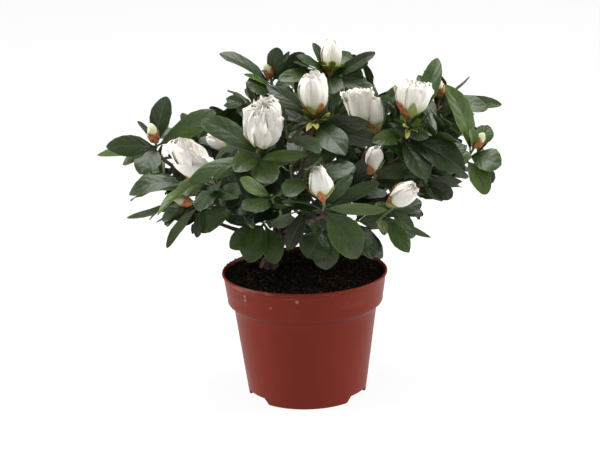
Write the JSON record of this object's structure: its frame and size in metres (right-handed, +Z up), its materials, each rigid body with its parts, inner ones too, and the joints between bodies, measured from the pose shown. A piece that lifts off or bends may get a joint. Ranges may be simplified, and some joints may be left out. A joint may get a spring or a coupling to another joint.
{
  "type": "potted azalea shrub",
  "caption": "Small evergreen azalea shrub with half-open white double blooms, growing in a round tapered plastic grow pot with a rolled rim and filled with compost.",
  "frame": {"origin": "middle of the flat pad under the pot, in the plane that the pot stands on", "axes": "+Z up, -Y towards the side of the plant that the picture shows, +X to that side's right"},
  "size_m": [0.2902, 0.261, 0.2543],
  "materials": {
    "pot_plastic": "semi-matte moulded plastic, lightly scuffed at the rim",
    "compost": "moist fibrous peat compost with bits of bark",
    "bark": "rough grey-brown bark, reddish on the younger limbs",
    "leaf": "dark green leathery leaves with a soft sheen"
  },
  "bodies": {
    "root": {"bough_back": "bark", "bough_back_left": "bark", "bough_back_right": "bark", "bough_far_left": "bark", "bough_far_right": "bark", "bough_front": "bark", "bough_front_low": "bark", "bough_inner_right": "bark", "bough_left": "bark", "bough_low_back": "bark", "bough_low_left": "bark", "bough_low_right": "bark", "bough_right_front": "bark", "bough_right_top": "bark", "bough_top": "bark", "bough_top_left": "bark", "bough_upper_front": "bark", "compost": "compost", "foliage_back": "leaf", "foliage_back_left": "leaf", "foliage_back_right": "leaf", "foliage_far_left": "leaf", "foliage_far_right": "leaf", "foliage_front": "leaf", "foliage_front_low": "leaf", "foliage_heart": "leaf", "foliage_inner_right": "leaf", "foliage_left": "leaf", "foliage_low_back": "leaf", "foliage_low_left": "leaf", "foliage_low_right": "leaf", "foliage_right_front": "leaf", "foliage_right_top": "leaf", "foliage_top": "leaf", "foliage_top_left": "leaf", "foliage_under_front": "leaf", "foliage_upper_front": "leaf", "pot": "pot_plastic", "trunk": "bark"}
  },
  "joints": []
}
